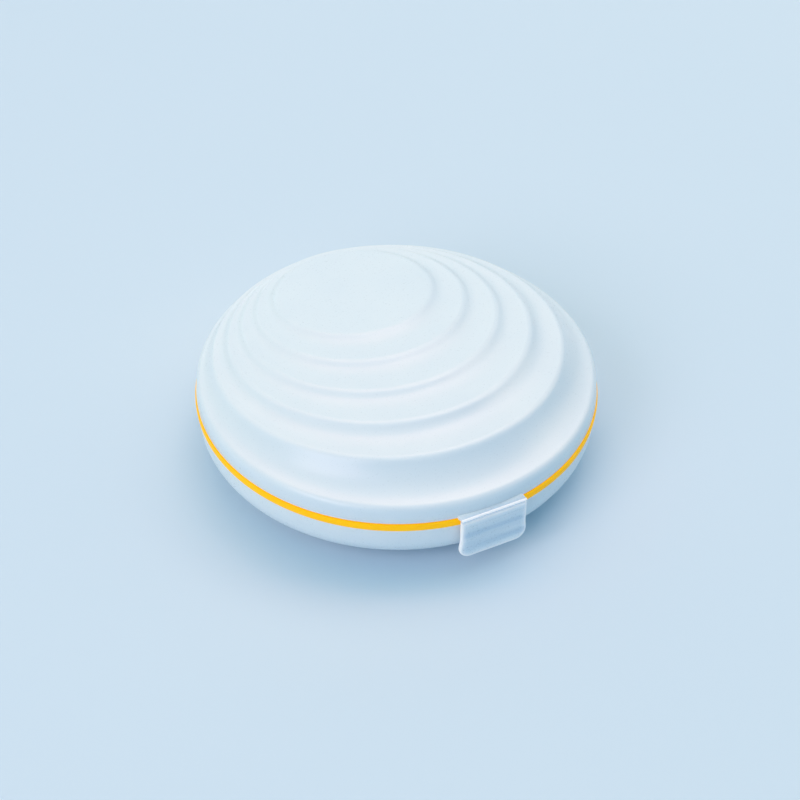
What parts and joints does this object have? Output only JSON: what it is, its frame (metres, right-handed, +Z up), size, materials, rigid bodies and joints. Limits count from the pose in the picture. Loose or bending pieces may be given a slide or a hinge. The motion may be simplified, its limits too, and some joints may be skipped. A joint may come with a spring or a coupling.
{
  "type": "round pill box",
  "caption": "Round seven-day pill box with an eccentric terraced hinged lid, a soft seam ring, a strap tab latch, and a turning clear cover over a wedge tray.",
  "frame": {"origin": "middle of the flat foot, on the axis of the round bowl", "axes": "+Z up along the bowl's axis, +Y from the front tab to the rear hinge, +X to the right when the tab faces the viewer"},
  "size_m": [0.088, 0.0927, 0.0276],
  "materials": {
    "pale_shell": "satin moulded ABS, very pale blue",
    "yellow_elastomer": "satin moulded silicone, warm yellow",
    "frosted_strap": "frosted natural polypropylene",
    "white_tray": "satin moulded polypropylene, white",
    "clear_cover": "polished clear polystyrene",
    "steel": "drawn bright wire"
  },
  "bodies": {
    "base": {"base_shell": "pale_shell", "seal_ring": "yellow_elastomer", "compartment_tray": "white_tray", "hub_rivet": "white_tray", "hinge_pin": "steel"},
    "lid": {"lid_shell": "pale_shell", "latch_root": "frosted_strap"},
    "latch": {"latch_flap": "frosted_strap"},
    "cover": {"window_cover": "clear_cover"}
  },
  "joints": [
    {"name": "lid_open", "type": "hinge", "parent": "base", "child": "lid", "pos_m": [0, 0.0458, 0.014], "axis": [-1, 0, 0], "range_deg": [0, 110]},
    {"name": "latch_swing", "type": "hinge", "parent": "lid", "child": "latch", "pos_m": [0, -0.04525, 0.0152], "axis": [-1, 0, 0], "range_deg": [0, 100]},
    {"name": "cover_turn", "type": "hinge", "parent": "base", "child": "cover", "pos_m": [0, 0, 0.01345], "axis": [0, 0, 1], "continuous": true}
  ]
}
